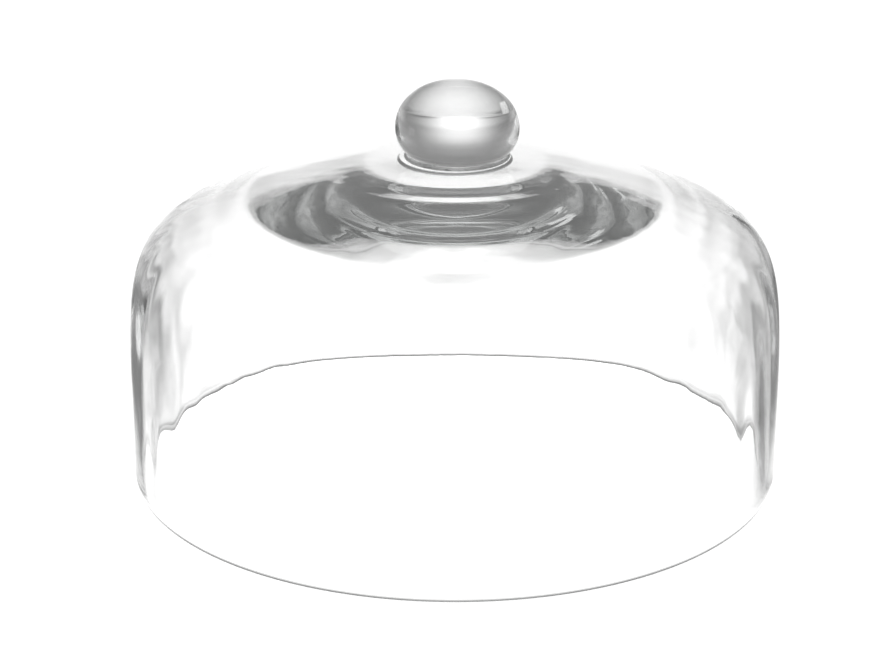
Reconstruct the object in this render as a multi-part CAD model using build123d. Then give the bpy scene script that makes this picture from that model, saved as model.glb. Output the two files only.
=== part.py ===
"""Clear glass bell jar dome: a blown bell, a pressed-on neck collar and a solid ball knob.

Frame: millimetres, +Z up, origin on the bell's axis in the plane that its ground rim
rests on. Every piece is a body of revolution about Z. The three pieces of glass are
hot-joined, so they meet face to face and nothing moves.
"""

import os

from build123d import *

# ---- driving dimensions (mm) ----
WALL_OUTER_R = 140.0  # outside radius of the upright wall
WALL_T = 3.8  # glass thickness in the upright wall
WALL_TOP_Z = 40.0  # the wall is a true cylinder up to here
RIM_FLAT_W = 1.4  # width of the flat ground band that the bell stands on
RIM_OUTER_R = 138.7  # outside radius of that flat band
RIM_EASE_Z = 3.4  # height over which the rim rolls out to the wall

SEAT_R = 24.4  # flat seat on the crown that takes the neck collar
SEAT_Z = 141.2  # height of the seat above the rim plane

COLLAR_R = 23.0  # neck collar, at its widest
COLLAR_NOSE = 0.5  # how far its rounded edge stands out from the seat
COLLAR_TOP_R = 21.4  # neck collar, flat top under the knob
COLLAR_H = 1.3  # neck collar, seat to knob

KNOB_R = 26.4  # knob, greatest radius
KNOB_FOOT_R = 21.0  # knob, radius of the flat foot that sits on the collar
KNOB_MID_Z = 153.7  # height of the knob's widest circle
KNOB_TOP_Z = 173.5  # overall height

# outside of the bell above the wall, as (radius, height): round shoulder, then a
# shallow cone, then two low ledges left where the neck was drawn up and tooled
OUTER_CROWN = [
    (139.35, 71.0),
    (137.55, 87.3),
    (132.85, 100.6),
    (123.1, 110.5),
    (104.3, 118.86),
    (96.0, 121.91),
    (84.0, 125.51),
    (72.0, 129.29),
    (63.0, 133.03),
    (57.0, 135.54),
    (53.5, 136.77),
    (50.0, 137.34),
    (46.5, 137.82),
    (43.5, 138.5),
    (40.5, 139.07),
    (37.0, 139.27),
    (32.0, 139.54),
    (28.6, 139.74),
    (26.4, 140.23),
]
# inside of the bell above the wall: the glass thickens towards the crown
INNER_CROWN = [
    (135.62, 70.8),
    (135.0, 79.73),
    (133.5, 89.24),
    (132.0, 94.31),
    (130.0, 98.54),
    (127.0, 102.61),
    (124.0, 105.49),
    (120.0, 108.31),
    (113.5, 111.25),
    (106.0, 114.17),
    (97.0, 117.15),
    (88.0, 119.34),
    (80.0, 120.19),
    (70.0, 121.17),
    (60.0, 122.09),
    (50.0, 122.63),
    (25.0, 123.18),
]
CROWN_CENTRE_Z = 123.3  # inside height on the axis


def bell():
    """The blown bell, revolved from its wall section."""
    ri = WALL_OUTER_R - WALL_T
    rim_in = RIM_OUTER_R - RIM_FLAT_W
    with BuildPart() as p:
        with BuildSketch(Plane.XZ):
            with BuildLine():
                # rim: flat band, then rolled edges out to the two wall faces
                Line((rim_in, 0), (RIM_OUTER_R, 0))
                Spline(
                    (RIM_OUTER_R, 0),
                    (WALL_OUTER_R, RIM_EASE_Z),
                    tangents=[(1, 0), (0, 1)],
                    tangent_scalars=[0.9, 1.4],
                )
                Line((WALL_OUTER_R, RIM_EASE_Z), (WALL_OUTER_R, WALL_TOP_Z))
                Spline(
                    (WALL_OUTER_R, WALL_TOP_Z),
                    *OUTER_CROWN,
                    (SEAT_R, SEAT_Z),
                    tangents=[(0, 1), (-1, 0.6)],
                )
                Line((SEAT_R, SEAT_Z), (0, SEAT_Z))
                Line((0, SEAT_Z), (0, CROWN_CENTRE_Z))
                Spline(
                    (0, CROWN_CENTRE_Z),
                    *INNER_CROWN[::-1],
                    (ri, WALL_TOP_Z),
                    tangents=[(1, 0), (0, -1)],
                )
                Line((ri, WALL_TOP_Z), (ri, 1.6))
                Spline(
                    (ri, 1.6),
                    (rim_in, 0),
                    tangents=[(0, -1), (1, 0)],
                )
            make_face()
        revolve(axis=Axis.Z)
    return p.part


def collar():
    """The bull-nosed ring of glass between the crown and the knob."""
    z0, z1 = SEAT_Z, SEAT_Z + COLLAR_H
    with BuildPart() as p:
        with BuildSketch(Plane.XZ):
            with BuildLine():
                Line((0, z0), (COLLAR_R - COLLAR_NOSE, z0))
                Spline(
                    (COLLAR_R - COLLAR_NOSE, z0),
                    (COLLAR_R, z0 + COLLAR_H * 0.4),
                    (COLLAR_TOP_R, z1),
                    tangents=[(1, 0.2), (-1, 0.12)],
                )
                Line((COLLAR_TOP_R, z1), (0, z1))
                Line((0, z1), (0, z0))
            make_face()
        revolve(axis=Axis.Z)
    return p.part


def knob():
    """The solid flattened ball, with a flat foot."""
    z1 = SEAT_Z + COLLAR_H
    up = KNOB_TOP_Z - KNOB_MID_Z
    with BuildPart() as p:
        with BuildSketch(Plane.XZ):
            with BuildLine():
                Line((0, z1), (KNOB_FOOT_R, z1))
                Spline(
                    (KNOB_FOOT_R, z1),
                    (KNOB_R * 0.911, KNOB_MID_Z - 7.7),
                    (KNOB_R * 0.981, KNOB_MID_Z - 3.7),
                    (KNOB_R, KNOB_MID_Z),
                    tangents=[(0.92, 1), (0, 1)],
                )
                Spline(
                    (KNOB_R, KNOB_MID_Z),
                    (KNOB_R * 0.983, KNOB_MID_Z + up * 0.217),
                    (KNOB_R * 0.906, KNOB_MID_Z + up * 0.47),
                    (KNOB_R * 0.732, KNOB_MID_Z + up * 0.722),
                    (KNOB_R * 0.44, KNOB_MID_Z + up * 0.908),
                    (0, KNOB_TOP_Z),
                    tangents=[(0, 1), (-1, 0)],
                )
                Line((0, KNOB_TOP_Z), (0, z1))
            make_face()
        revolve(axis=Axis.Z)
    return p.part


os.makedirs("parts", exist_ok=True)
pieces = {"dome_shell": bell(), "neck_collar": collar(), "knob": knob()}
for name, shape in pieces.items():
    export_step(shape, f"parts/{name}.step")
    box = shape.bounding_box()
    print(name, "volume cm3", round(shape.volume / 1000, 1), "size", box.size)
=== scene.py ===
import math
import random

import bmesh
import bpy
import numpy as np
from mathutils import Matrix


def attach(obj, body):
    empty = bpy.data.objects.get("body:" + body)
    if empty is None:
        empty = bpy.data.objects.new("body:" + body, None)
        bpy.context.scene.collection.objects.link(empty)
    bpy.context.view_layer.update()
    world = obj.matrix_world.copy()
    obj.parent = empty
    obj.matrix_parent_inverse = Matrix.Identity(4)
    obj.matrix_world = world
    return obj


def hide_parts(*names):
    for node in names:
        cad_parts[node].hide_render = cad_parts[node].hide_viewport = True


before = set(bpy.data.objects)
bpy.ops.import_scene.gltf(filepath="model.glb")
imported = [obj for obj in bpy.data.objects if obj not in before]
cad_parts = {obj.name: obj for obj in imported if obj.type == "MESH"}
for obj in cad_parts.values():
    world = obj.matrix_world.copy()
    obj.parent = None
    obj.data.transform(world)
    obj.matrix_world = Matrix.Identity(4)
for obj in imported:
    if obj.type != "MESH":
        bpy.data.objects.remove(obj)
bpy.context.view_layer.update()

TAU = 2 * math.pi
MM = 0.001


# ------------------------------------------------------------------ curves
def spline(points, t0=None, t1=None, n=60):
    """Smooth curve through the points, with given end directions."""
    P = np.array(points, float)
    d = np.linalg.norm(np.diff(P, axis=0), axis=1)
    u = np.concatenate([[0], np.cumsum(d)])
    m = len(P)
    A = np.zeros((m, m))
    B = np.zeros((m, 2))
    for i in range(1, m - 1):
        A[i, i - 1], A[i, i], A[i, i + 1] = d[i], 2 * (d[i - 1] + d[i]), d[i - 1]
        B[i] = 3 * (d[i] * (P[i] - P[i - 1]) / d[i - 1] + d[i - 1] * (P[i + 1] - P[i]) / d[i])
    if t0 is None:
        A[0, 0], A[0, 1], B[0] = 2, 1, 3 * (P[1] - P[0]) / d[0]
    else:
        A[0, 0], B[0] = 1, np.array(t0, float) / np.linalg.norm(t0)
    if t1 is None:
        A[-1, -1], A[-1, -2], B[-1] = 2, 1, 3 * (P[-1] - P[-2]) / d[-1]
    else:
        A[-1, -1], B[-1] = 1, np.array(t1, float) / np.linalg.norm(t1)
    T = np.linalg.solve(A, B)
    out = []
    for x in np.linspace(0, u[-1], n):
        i = min(max(int(np.searchsorted(u, x)) - 1, 0), m - 2)
        h, q = d[i], (x - u[i]) / d[i]
        out.append(
            (2 * q**3 - 3 * q**2 + 1) * P[i]
            + (q**3 - 2 * q**2 + q) * h * T[i]
            + (3 * q**2 - 2 * q**3) * P[i + 1]
            + (q**3 - q**2) * h * T[i + 1]
        )
    return np.array(out)


def eased(knots, x):
    """Monotone smooth curve through (x, y) knots."""
    kx = np.array([k[0] for k in knots], float)
    ky = np.array([k[1] for k in knots], float)
    h = np.diff(kx)
    d = np.diff(ky) / h
    m = np.zeros(len(kx))
    m[0], m[-1] = d[0], d[-1]
    for i in range(1, len(kx) - 1):
        if d[i - 1] * d[i] > 0:
            w1, w2 = 2 * h[i] + h[i - 1], h[i] + 2 * h[i - 1]
            m[i] = (w1 + w2) / (w1 / d[i - 1] + w2 / d[i])
    x = np.asarray(x, float)
    i = np.clip(np.searchsorted(kx, x) - 1, 0, len(kx) - 2)
    t = (x - kx[i]) / h[i]
    return (
        (2 * t**3 - 3 * t**2 + 1) * ky[i]
        + (t**3 - 2 * t**2 + t) * h[i] * m[i]
        + (3 * t**2 - 2 * t**3) * ky[i + 1]
        + (t**3 - t**2) * h[i] * m[i + 1]
    )


def from_slopes(knots, r, z0):
    """Heights at radii r of a surface that starts at z0 and falls at the given slopes (degrees)."""
    b = np.tan(np.radians(eased(knots, r)))
    return z0 - np.concatenate([[0], np.cumsum(np.diff(r) * 0.5 * (b[1:] + b[:-1]))])


def smooth01(x, a, b):
    t = np.clip((np.asarray(x, float) - a) / (b - a), 0, 1)
    return t * t * (3 - 2 * t)


# ------------------------------------------------------------------ bell sizes, mm
SEAT_Z = 141.2
SEAT_R = 23.7
WALL_R, WALL_T = 140.0, 3.8
FOOT_Z = 142.5
KNOB_A, KNOB_MID, KNOB_LOW, KNOB_UP = 26.4, 153.7, 17.65, 19.8
KNOB_N_LOW, KNOB_N_UP = 2.1, 2.16
JOIN_R, JOIN_Z = 104.3, 118.86

# the hand-shaped crown isn't quite round: slopes (radius, degrees) over X, over -Y (front) and over +Y (back)
OUT_X = [(23.7, 62), (24.0, 62), (24.3, 16), (24.8, 5), (30, 6.5), (36, 8), (41, 14), (50, 15.5), (60, 16.5), (75, 17.5), (86, 19.5), (95, 20), (100, 20), (104.3, 23.3)]
OUT_F = [(23.7, 62), (24.0, 62), (24.3, 16), (24.8, 2.2), (32, 1.4), (40.5, 1.8), (42.5, 22), (45.0, 22), (46.8, 3), (52.5, 3.5), (56, 27), (72.5, 27), (76, 15), (90, 14.5), (97, 18), (104.3, 23.3)]
OUT_B = [(23.7, 62), (24.0, 62), (24.3, 16), (24.8, 4), (39, 5), (44, 12), (52, 15), (57, 19), (95, 20), (100, 20), (104.3, 23.3)]
IN_X = [(0, 0), (26, 0.6), (45, 1.9), (60, 2.8), (84, 3.0), (89, 3.6), (92, 10), (95, 18.0), (99, 20.8), (106, 21.0), (110, 21.2), (113.5, 22.2)]
IN_Y = [(0, 0), (26, 0.6), (45, 1.6), (56, 3.6), (62, 7.2), (68, 8.2), (80, 8.2), (90, 9.3), (97, 12.3), (104, 17.5), (110, 21.5), (113.5, 23.5)]
IN_TOP = 123.3
IN_X_END = 111.5  # inside height over X where the shoulder starts

SHOULDER = [(140, 40), (139.35, 71), (137.55, 87.3), (132.85, 100.6), (123.1, 110.5), (JOIN_R, JOIN_Z)]

SHOULDER_T = 3.5


def profiles():
    """Outside and inside of the bell as (radius, height) over X and over Y, axis to rim."""
    sh = spline(SHOULDER, (0, 1), (-1, 0.43), 56)  # wall to join
    r = np.concatenate([np.linspace(SEAT_R, 26.2, 15)[:-1], np.linspace(26.2, 60, 36)[:-1], np.linspace(60, JOIN_R, 34)])
    outs = []
    for k, a0, a1 in ((OUT_X, 30, JOIN_R), (OUT_F, 53, JOIN_R), (OUT_B, 53, JOIN_R)):
        z = from_slopes(k, r, SEAT_Z - 0.02)
        z = z - (z[-1] - JOIN_Z) * smooth01(r, a0, a1)
        seat = [(0.0, SEAT_Z), (8.0, SEAT_Z), (16.0, SEAT_Z), (22.0, SEAT_Z), (SEAT_R - 0.2, SEAT_Z)]
        wall = [(WALL_R, q) for q in np.linspace(40, 3.8, 15)[1:]]
        rim = [(139.92, 2.6), (139.62, 1.5), (139.12, 0.65), (138.6, 0.1), (138.0, 0.0), (137.4, 0.1), (136.92, 0.45), (136.55, 1.05), (136.27, 2.0)]
        outs.append(np.array(seat + list(zip(r, z)) + [tuple(p) for p in sh[::-1][1:]] + wall + rim))
    ins = []
    ri = np.concatenate([np.linspace(0, 80, 46)[:-1], np.linspace(80, 113.5, 34)])
    for which, k in (("x", IN_X), ("y", IN_Y)):
        if which == "x":
            # slide the turn-down of the inner face in or out until it meets the shoulder
            lo, hi = -8.0, 8.0
            for _ in range(40):
                m = 0.5 * (lo + hi)
                kk = [(q + m if 80 < q < 103 else q, v) for q, v in k]
                z = from_slopes(kk, ri, IN_TOP)
                lo, hi = (m, hi) if z[-1] < IN_X_END else (lo, m)
        else:
            z = from_slopes(k, ri, IN_TOP)
        b = math.radians(k[-1][1])
        # wall and shoulder keep one thickness: the outside moved in along its normal
        t = np.gradient(sh, axis=0)
        t /= np.linalg.norm(t, axis=1)[:, None]
        face = sh + (SHOULDER_T + (WALL_T - SHOULDER_T) * smooth01(-sh[:, 1], -100, -60))[:, None] * np.stack([-t[:, 1], t[:, 0]], 1)
        face = face[face[:, 0] > 120.5]
        turn = spline([(ri[-1], z[-1]), tuple(face[-1])], (math.cos(b), -math.sin(b)), tuple(face[-2] - face[-1]), 16)
        ins.append(np.vstack([np.stack([ri, z], 1)[:-1], turn, face[::-1][1:], np.array([(WALL_R - WALL_T, q) for q in np.linspace(40, 3.0, 15)[1:]])]))
    return outs, ins


class Ripple:
    """Low waves in the glass, made of a few seeded cosines round the axis and along the wall."""

    def __init__(self, seed, count, n, m, size):
        rnd = random.Random(seed)
        self.w = [
            (rnd.randint(*n), rnd.uniform(*m) * rnd.choice((-1, 1)), rnd.uniform(0, TAU), rnd.uniform(0.5, 1.0))
            for _ in range(count)
        ]
        s = math.sqrt(sum(a * a for *_, a in self.w) / 2)
        self.k = size / s

    def __call__(self, phi, u):
        h = np.zeros(np.broadcast(phi, u).shape)
        for n, m, p, a in self.w:
            h += a * np.cos(n * phi + m * u + p)
        return h * self.k


# waves that run up the wall, slow rings in the crown, and fine drawn streaks
WALL_OUT = Ripple(11, 16, (16, 46), (0.0, 0.035), 0.010)
WALL_IN = Ripple(23, 22, (14, 50), (0.0, 0.06), 0.045)
WALL_FINE = Ripple(29, 18, (46, 72), (0.0, 0.25), 0.010)
SLOW_IN = Ripple(31, 10, (2, 9), (0.02, 0.07), 0.06)
CROWN_IN = Ripple(47, 14, (2, 9), (0.08, 0.26), 0.006)
CROWN_OUT = Ripple(53, 10, (1, 6), (0.06, 0.20), 0.006)
STREAK = Ripple(61, 16, (18, 48), (0.05, 0.30), 0.004)


def displace(P, phi, side):
    """P: one ring list (r, z) per angle, shape (rings, seg, 2). Moves it along its own normal."""
    t = np.gradient(P, axis=0)
    L = np.linalg.norm(t, axis=2)[..., None] + 1e-9
    t = t / L
    u = np.cumsum(L[..., 0], axis=0)
    nrm = np.stack([-t[..., 1], t[..., 0]], -1)  # to the outside, the list runs axis to rim
    nrm = -nrm
    r, z = P[..., 0], P[..., 1]
    sidey = np.abs(np.cos(phi))[None, :]
    edge = 0.15 + 0.85 * smooth01(sidey, 0.38, 0.75)
    wall = smooth01(-z, -122, -100) * smooth01(z, 0.4, 9)
    crown = smooth01(z, 106, 116) * smooth01(r, 28, 50)
    if side == "out":
        h = WALL_OUT(phi[None, :], u) * wall * edge
        h = h + CROWN_OUT(phi[None, :], u) * crown + 0.5 * STREAK(phi[None, :], u) * crown
        h = h - 0.045 * (wall + crown)  # keeps every wave inside the nominal size
    else:
        h = (WALL_IN(phi[None, :], u) + WALL_FINE(phi[None, :], u)) * wall * edge + SLOW_IN(phi[None, :], u) * wall * edge
        h = h + CROWN_IN(phi[None, :], u) * crown + STREAK(phi[None, :], u) * crown
        h = -h
    return P + h[..., None] * nrm


def mesh_from(name, verts, faces):
    me = bpy.data.meshes.new(name)
    me.from_pydata(verts, [], faces)
    bm = bmesh.new()
    bm.from_mesh(me)
    bmesh.ops.recalc_face_normals(bm, faces=bm.faces)
    for f in bm.faces:
        f.smooth = True
    bm.to_mesh(me)
    bm.free()
    ob = bpy.data.objects.new(name, me)
    bpy.context.scene.collection.objects.link(ob)
    return ob


def rings_to_mesh(name, R, closed_top=True, closed_bottom=True):
    """R: rings of (x, y, z) in mm, shape (n, seg, 3); the first and last rings shrink to a point."""
    n, seg, _ = R.shape
    verts = [tuple(R[0, 0] * MM)]
    for i in range(1, n - 1):
        verts += [tuple(p * MM) for p in R[i]]
    verts.append(tuple(R[-1, 0] * MM))
    last = len(verts) - 1
    faces = []
    for j in range(seg):
        k = (j + 1) % seg
        faces.append((0, 1 + j, 1 + k))
        for i in range(n - 3):
            a, b = 1 + i * seg, 1 + (i + 1) * seg
            faces.append((a + j, b + j, b + k, a + k))
        a = 1 + (n - 3) * seg
        faces.append((a + k, a + j, last))
    return mesh_from(name, verts, faces)


def bell():
    seg = 314
    phi = np.linspace(0, TAU, seg, endpoint=False)
    (ox, of, ob), (ix, iy) = profiles()
    c = (0.5 + 0.5 * np.cos(2 * phi))[None, :, None]  # 1 over X, 0 over Y
    f = (np.sin(phi) < 0)[None, :, None]  # the front half
    out = ox[:, None, :] * c + np.where(f, of[:, None, :], ob[:, None, :]) * (1 - c)
    inn = ix[:, None, :] * c + iy[:, None, :] * (1 - c)
    out = displace(out, phi, "out")
    inn = displace(inn, phi, "in")
    P = np.concatenate([out, inn[::-1]], 0)
    # the rim is fire-polished by hand, so its edge rises and falls a little
    lift = 0.05 + 0.03 * np.cos(3 * phi + 0.7) + 0.02 * np.cos(7 * phi + 2.1)
    near = (1 - smooth01(P[..., 1], 0.0, 6.0)) * (P[..., 0] > 100)
    P[..., 1] += near * lift[None, :]
    P[..., 1] = np.minimum(P[..., 1], SEAT_Z)
    P[..., 0] = np.clip(P[..., 0], 0, WALL_R)
    R = np.stack([P[..., 0] * np.cos(phi)[None, :], P[..., 0] * np.sin(phi)[None, :], P[..., 1]], -1)
    R[0, :, :2] = 0
    R[-1, :, :2] = 0
    return rings_to_mesh("bell", R)


def turned(name, prof, seg=256, warp=None):
    phi = np.linspace(0, TAU, seg, endpoint=False)
    P = np.array(prof, float)
    R = np.stack(
        [P[:, 0, None] * np.cos(phi)[None, :], P[:, 0, None] * np.sin(phi)[None, :], np.repeat(P[:, 1, None], seg, 1)], -1
    )
    if warp is not None:
        R = warp(R, phi)
    return rings_to_mesh(name, R)


def collar():
    z0, z1 = SEAT_Z, FOOT_Z
    side = spline([(22.5, z0 - 0.05), (22.98, z0 + 0.25), (23.0, z0 + 0.6), (22.7, z0 + 1.0), (22.0, z1 - 0.08), (20.8, z1 - 0.03)], (1, 0.25), (-1, 0.12), 30)
    prof = [(0, z0 - 0.05), (8, z0 - 0.05), (16, z0 - 0.05)] + [tuple(p) for p in side] + [(20.0, z1 - 0.03), (19.3, z1 - 0.01), (18.6, z1 + 0.05), (12, z1 + 0.05), (6, z1 + 0.05), (0, z1 + 0.05)]

    def warp(R, phi):
        w = 0.05 * np.cos(2 * phi + 0.4) + 0.03 * np.cos(5 * phi)
        r = np.hypot(R[..., 0], R[..., 1])
        k = 1 + (w[None, :] - 0.58) / 23.0 * smooth01(r, 15, 22)
        R[..., 0] = R[..., 0] * k + 0.8
        R[..., 1] *= k
        return R

    return turned("neck_ring", prof, 256, warp)


def knob():
    z1 = FOOT_Z
    lift = 0.12

    def low_r(z):
        return KNOB_A * (1 - ((KNOB_MID - z) / KNOB_LOW) ** KNOB_N_LOW) ** (1 / KNOB_N_LOW)

    prof = [(0, z1), (6, z1), (12, z1), (17.6, z1), (18.6, z1), (19.2, z1 + 0.04), (19.8, z1 + lift), (20.5, z1 + lift + 0.05), (20.95, z1 + lift + 0.18)]
    z = z1 + 0.55 + (KNOB_MID - z1 - 0.55) * np.linspace(0, 1, 40) ** 1.15
    prof += [(low_r(v), v) for v in z]
    n = KNOB_N_UP
    for t in np.linspace(0, math.pi / 2, 64)[1:]:
        c = max(math.cos(t), 0.0)
        prof.append((KNOB_A * c ** (2 / n) if c > 1e-6 else 0.0, KNOB_MID + KNOB_UP * math.sin(t) ** (2 / n)))

    def warp(R, phi):
        # it leans a little, and is very slightly three-sided
        z = R[..., 2]
        w = 0.10 * np.cos(3 * phi + 0.9) + 0.05 * np.cos(5 * phi + 0.2)
        k = 1 + (w[None, :] - 0.10) / KNOB_A * smooth01(z, 144, 150)
        R[..., 0] *= k
        R[..., 1] *= k
        R[..., 0] += 0.8 - 0.02 * (z - 156.0)
        return R

    return turned("ball", prof, 256, warp)


# ------------------------------------------------------------------ glass
def glass(name, seed, ripple, tint, density):
    m = bpy.data.materials.new(name)
    m.use_nodes = True
    nt = m.node_tree
    N, L = nt.nodes, nt.links
    p = N["Principled BSDF"]
    p.inputs["Base Color"].default_value = (1, 1, 1, 1)
    p.inputs["Transmission Weight"].default_value = 1.0
    p.inputs["IOR"].default_value = 1.5
    p.inputs["Roughness"].default_value = 0.0
    tc = N.new("ShaderNodeTexCoord")
    mp = N.new("ShaderNodeMapping")
    mp.inputs["Location"].default_value = (seed * 0.37, seed * 0.11, seed * 0.23)
    L.new(tc.outputs["Object"], mp.inputs["Vector"])
    # fire-polished skin: long soft drawn waves, with a very fine grain on top
    a = N.new("ShaderNodeTexNoise")
    a.inputs["Scale"].default_value = 46.0
    a.inputs["Detail"].default_value = 2.0
    a.inputs["Roughness"].default_value = 0.45
    a.inputs["Distortion"].default_value = 0.6
    L.new(mp.outputs["Vector"], a.inputs["Vector"])
    bump = N.new("ShaderNodeBump")
    bump.inputs["Strength"].default_value = ripple
    bump.inputs["Distance"].default_value = 0.0004
    L.new(a.outputs["Fac"], bump.inputs["Height"])
    L.new(bump.outputs["Normal"], p.inputs["Normal"])
    v = N.new("ShaderNodeVolumeAbsorption")
    v.inputs["Color"].default_value = tint
    v.inputs["Density"].default_value = density
    out = next(n for n in N if n.type == "OUTPUT_MATERIAL")
    L.new(v.outputs["Volume"], out.inputs["Volume"])
    return m


blown = glass("blown_glass", 1, 0.10, (0.50, 0.52, 0.51, 1), 5.0)
solid = glass("solid_glass", 2, 0.05, (0.50, 0.52, 0.51, 1), 1.5)

for make, node, slot, mat in ((bell, "dome_shell", "blown_glass", blown), (collar, "neck_collar", "solid_glass", solid), (knob, "knob", "solid_glass", solid)):
    ob = make()
    ob.data.materials.append(mat)
    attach(ob, "root")
    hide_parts(node)

# ------------------------------------------------------------------ studio
scene = bpy.context.scene


def plain_white(name):
    """Floor: white to the eye, and open to everything else, so the glass is lit by the studio alone."""
    m = bpy.data.materials.new(name)
    m.use_nodes = True
    nt = m.node_tree
    nt.nodes.clear()
    out = nt.nodes.new("ShaderNodeOutputMaterial")
    mix = nt.nodes.new("ShaderNodeMixShader")
    e = nt.nodes.new("ShaderNodeEmission")
    e.inputs["Color"].default_value = (1, 1, 1, 1)
    e.inputs["Strength"].default_value = 1.1
    tr = nt.nodes.new("ShaderNodeBsdfTransparent")
    lp = nt.nodes.new("ShaderNodeLightPath")
    nt.links.new(lp.outputs["Is Camera Ray"], mix.inputs[0])
    nt.links.new(tr.outputs[0], mix.inputs[1])
    nt.links.new(e.outputs[0], mix.inputs[2])
    nt.links.new(mix.outputs[0], out.inputs["Surface"])
    return m


floor = mesh_from("floor", [(-6, -6, -0.0002), (6, -6, -0.0002), (6, 6, -0.0002), (-6, 6, -0.0002)], [(0, 1, 2, 3)])
floor.data.materials.append(plain_white("floor_white"))

world = bpy.data.worlds.new("studio")
scene.world = world
world.use_nodes = True
nt = world.node_tree
nt.nodes.clear()
New, Link = nt.nodes.new, nt.links.new


def feed(sock, v):
    if isinstance(v, (int, float)):
        sock.default_value = v
    else:
        Link(v, sock)


def M(op, *args, clamp=False):
    n = New("ShaderNodeMath")
    n.operation = op
    n.use_clamp = clamp
    for i, v in enumerate(args):
        feed(n.inputs[i], v)
    return n.outputs[0]


def S(v, a, b, lo=0.0, hi=1.0):
    n = New("ShaderNodeMapRange")
    n.interpolation_type = "SMOOTHSTEP"
    feed(n.inputs[0], v)
    for i, k in enumerate((a, b, lo, hi)):
        feed(n.inputs[i + 1], k)
    return n.outputs[0]


tc = New("ShaderNodeTexCoord")
sep = New("ShaderNodeSeparateXYZ")
Link(tc.outputs["Generated"], sep.inputs[0])
dx, dy, dz = sep.outputs
EL = M("MULTIPLY", M("ARCSINE", dz), 57.29578)
AZ = M("MULTIPLY", M("ARCTAN2", dx, dy), 57.29578)  # 0 is +Y, +90 is +X


def off(az0):
    return M("ABSOLUTE", M("WRAP", M("SUBTRACT", AZ, az0), 180.0, -180.0))


# backdrop light behind the piece: a soft round glow that opens into the white table below
low = S(EL, -9, -5, 1.0, 0.0)
narrow = M("MULTIPLY", S(EL, -16, -12, 1.0, 0.0), S(EL, -25.5, -21))
wide = S(EL, -25.5, -21, 1.0, 0.0)
half = M("ADD", M("ADD", 20.0, M("MULTIPLY", narrow, -7.5)), M("MULTIPLY", wide, 15.0))
shift = M("ADD", M("ADD", 1.8, M("MULTIPLY", narrow, -1.3)), M("MULTIPLY", wide, -2.5))
side = M("ABSOLUTE", M("ADD", M("WRAP", AZ, 180.0, -180.0), shift))
powr = M("ADD", M("ADD", 2.3, M("MULTIPLY", low, -0.6)), M("ADD", M("MULTIPLY", narrow, 1.3), M("MULTIPLY", wide, 0.4)))
q1 = M("POWER", M("DIVIDE", side, half), powr)
q2 = M("POWER", M("DIVIDE", M("MAXIMUM", M("ADD", EL, 9.0), 0.0), 16.6), 2.75)
back = M("EXPONENT", M("MULTIPLY", M("ADD", q1, q2), -1.0))
dim = S(EL, -52, -22, 0.6, 1.0)
back = M("MULTIPLY", M("MULTIPLY", back, dim), M("ADD", 0.86, M("MULTIPLY", low, 0.41)))


def panel(az0, hw, soft, e0, e1, level, es=5.0):
    a = S(off(az0), hw, hw + soft, 1.0, 0.0)
    b = M("MULTIPLY", S(EL, e0 - es, e0), S(EL, e1, e1 + es, 1.0, 0.0))
    return M("MULTIPLY", M("MULTIPLY", a, b), level)


light = back
for k in (
    panel(-45, 5, 3, -29, -20, 0.9, 3.0),
    panel(-90, 6, 4, -9, 3, 0.95, 4.0),
    panel(135, 7, 4, -21, -9, 0.95, 4.0),
):
    light = M("MAXIMUM", light, k)
# the room round the table: dim beside the backdrop, a little brighter and mottled further round
room = New("ShaderNodeTexNoise")
room.inputs["Scale"].default_value = 7.0
room.inputs["Detail"].default_value = 4.0
Link(tc.outputs["Generated"], room.inputs["Vector"])
around = M("MULTIPLY", M("MULTIPLY", S(off(0.0), 50, 68), S(EL, 4, 18, 1.0, 0.2)), M("ADD", 0.02, M("MULTIPLY", S(room.outputs[0], 0.35, 0.65), 0.22)))
# general light for every other side: all round the rear half, and softer at the two flanks
flank = M("MULTIPLY", M("MULTIPLY", S(off(0.0), 42, 58), S(EL, -52, -40)), S(EL, -6, 1, 1.0, 0.0))
rear = M("MULTIPLY", M("MULTIPLY", S(off(0.0), 102, 120), S(EL, -62, -46)), S(EL, 5, 14, 1.0, 0.0))
light = M("MAXIMUM", light, M("MAXIMUM", M("MULTIPLY", flank, 0.24), M("MULTIPLY", rear, 0.68)))
total = M("ADD", light, M("ADD", 0.23, around))

bg = New("ShaderNodeBackground")
bg.inputs[0].default_value = (1, 1, 1, 1)
Link(total, bg.inputs[1])
seen = New("ShaderNodeBackground")
seen.inputs[0].default_value = (1, 1, 1, 1)
seen.inputs[1].default_value = 1.1
lp = New("ShaderNodeLightPath")
mx = New("ShaderNodeMixShader")
wo = New("ShaderNodeOutputWorld")
Link(lp.outputs["Is Camera Ray"], mx.inputs[0])
Link(bg.outputs[0], mx.inputs[1])
Link(seen.outputs[0], mx.inputs[2])
Link(mx.outputs[0], wo.inputs[0])

scene.view_settings.view_transform = "Standard"
scene.view_settings.look = "None"
scene.cycles.max_bounces = 64
scene.cycles.transmission_bounces = 64
scene.cycles.glossy_bounces = 48
scene.cycles.transparent_max_bounces = 16

# ------------------------------------------------------------------ camera
cam = bpy.data.cameras.new("camera")
co = bpy.data.objects.new("camera", cam)
scene.collection.objects.link(co)
EYE_EL = math.radians(23.487)
EYE_D = 1.2424
co.location = (0, -EYE_D * math.cos(EYE_EL), EYE_D * math.sin(EYE_EL))
co.rotation_euler = (math.radians(90 - 20.865), 0, math.radians(0.224))
cam.sensor_width = 36
cam.lens = 114.025
scene.camera = co
